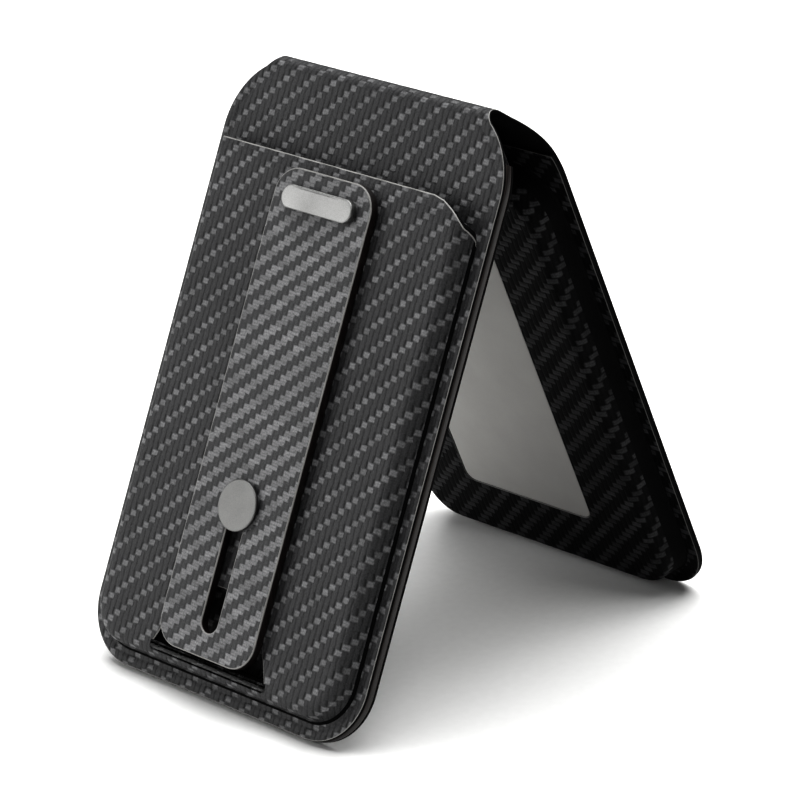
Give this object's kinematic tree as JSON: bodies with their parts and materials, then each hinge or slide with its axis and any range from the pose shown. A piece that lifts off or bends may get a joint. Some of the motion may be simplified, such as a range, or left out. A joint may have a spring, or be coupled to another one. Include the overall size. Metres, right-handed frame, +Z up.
{
  "type": "folding wallet stand",
  "caption": "Folding magnetic card wallet: a card pocket with a sliding finger strap on one leaf, a phone leaf with a raised block on the other, standing on both as an A-frame.",
  "frame": {"origin": "centre of the bounding box, on the surface that both leaves stand on", "axes": "+X along the fold, +Z up, -Y towards the leaf with the card pocket and the strap"},
  "size_m": [0.065, 0.0916, 0.0971],
  "materials": {
    "carbon_leather": "carbon-weave embossed, satin",
    "lining": "smooth, matte",
    "strap_leather": "fine weave embossed, satin",
    "fibre_board": "matte",
    "rail_plastic": "matte",
    "grey_metal": "bead-blasted, matte",
    "plate_metal": "fine-grained, matte",
    "fitting_steel": "blackened",
    "magnet": "nickel plated"
  },
  "bodies": {
    "card_leaf": {"base_leather": "carbon_leather", "base_board": "fibre_board", "base_lining": "lining", "shield_sheet": "fitting_steel", "rail_left": "rail_plastic", "rail_right": "rail_plastic", "rail_bottom_left": "rail_plastic", "rail_bottom_right": "rail_plastic", "pocket_board": "fibre_board", "pocket_cover": "carbon_leather", "catch_magnets_front": "magnet", "hinge_spine": "carbon_leather", "strap_tab": "strap_leather", "pill_bar": "grey_metal", "pill_posts": "fitting_steel", "pill_backplate": "fitting_steel", "stud_cap": "grey_metal", "stud_post": "fitting_steel", "stud_washer": "fitting_steel", "hinge_plate_front": "fitting_steel", "hinge_pin": "fitting_steel", "hinge_rivets_front": "fitting_steel"},
    "stand_leaf": {"hinge_plate_rear": "fitting_steel", "hinge_rivets_rear": "fitting_steel", "stand_skin": "carbon_leather", "stand_board": "fibre_board", "stand_liner": "carbon_leather", "block_cover": "carbon_leather", "block_core": "rail_plastic", "metal_plate": "plate_metal", "magnet_ring": "magnet", "shunt_ring": "fitting_steel", "align_magnet": "magnet", "catch_magnets_rear": "magnet"},
    "strap_upper_body": {"strap_upper": "strap_leather"},
    "strap_lower_body": {"strap_lower": "strap_leather"},
    "strap_end_body": {"strap_end": "strap_leather"}
  },
  "joints": [
    {"name": "fold", "type": "hinge", "parent": "card_leaf", "child": "stand_leaf", "pos_m": [0, 0.00158, 0.09126], "axis": [1, 0, 0], "range_deg": [-47, 68]},
    {"name": "strap_root", "type": "hinge", "parent": "card_leaf", "child": "strap_upper_body", "pos_m": [0, -0.01604, 0.07536], "axis": [-1, 0, 0], "range_deg": [0, 60]},
    {"name": "strap_knee", "type": "hinge", "parent": "strap_upper_body", "child": "strap_lower_body", "pos_m": [0, -0.02328, 0.05525], "axis": [-1, 0, 0], "range_deg": [-120, 0]},
    {"name": "strap_ankle", "type": "hinge", "parent": "strap_lower_body", "child": "strap_end_body", "pos_m": [0, -0.03361, 0.03655], "axis": [-1, 0, 0], "range_deg": [0, 60]}
  ],
  "couplings": [
    {"joint": "strap_knee", "follows": "strap_root", "ratio": -2},
    {"joint": "strap_ankle", "follows": "strap_root", "ratio": 1}
  ]
}
